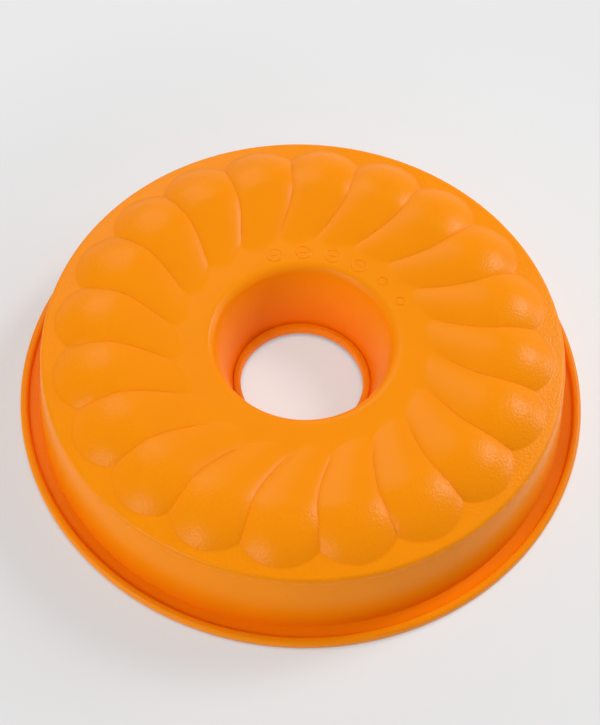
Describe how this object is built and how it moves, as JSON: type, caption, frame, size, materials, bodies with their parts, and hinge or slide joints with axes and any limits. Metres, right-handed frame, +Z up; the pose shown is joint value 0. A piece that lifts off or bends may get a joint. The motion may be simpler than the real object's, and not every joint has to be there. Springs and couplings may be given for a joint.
{
  "type": "silicone ring cake mould",
  "caption": "Ring-shaped flexible cake mould with swirled flutes round its crown, a tapered centre tube, a drafted wall and a flat beaded rim.",
  "frame": {"origin": "centre of the rim's flat underside, on the surface that the mould lies on", "axes": "+Z up through the centre hole, from the rim to the crown; +X along the outer end of a valley between two flutes"},
  "size_m": [0.26, 0.26, 0.0454],
  "materials": {
    "silicone": "satin orange silicone, with a fine pebble grain on the noses of the flutes"
  },
  "bodies": {
    "root": {"rim_bead": "silicone", "rim_flange": "silicone", "outer_wall": "silicone", "fluted_crown": "silicone", "plain_ring": "silicone", "centre_cone": "silicone", "centre_lip": "silicone"}
  },
  "joints": []
}
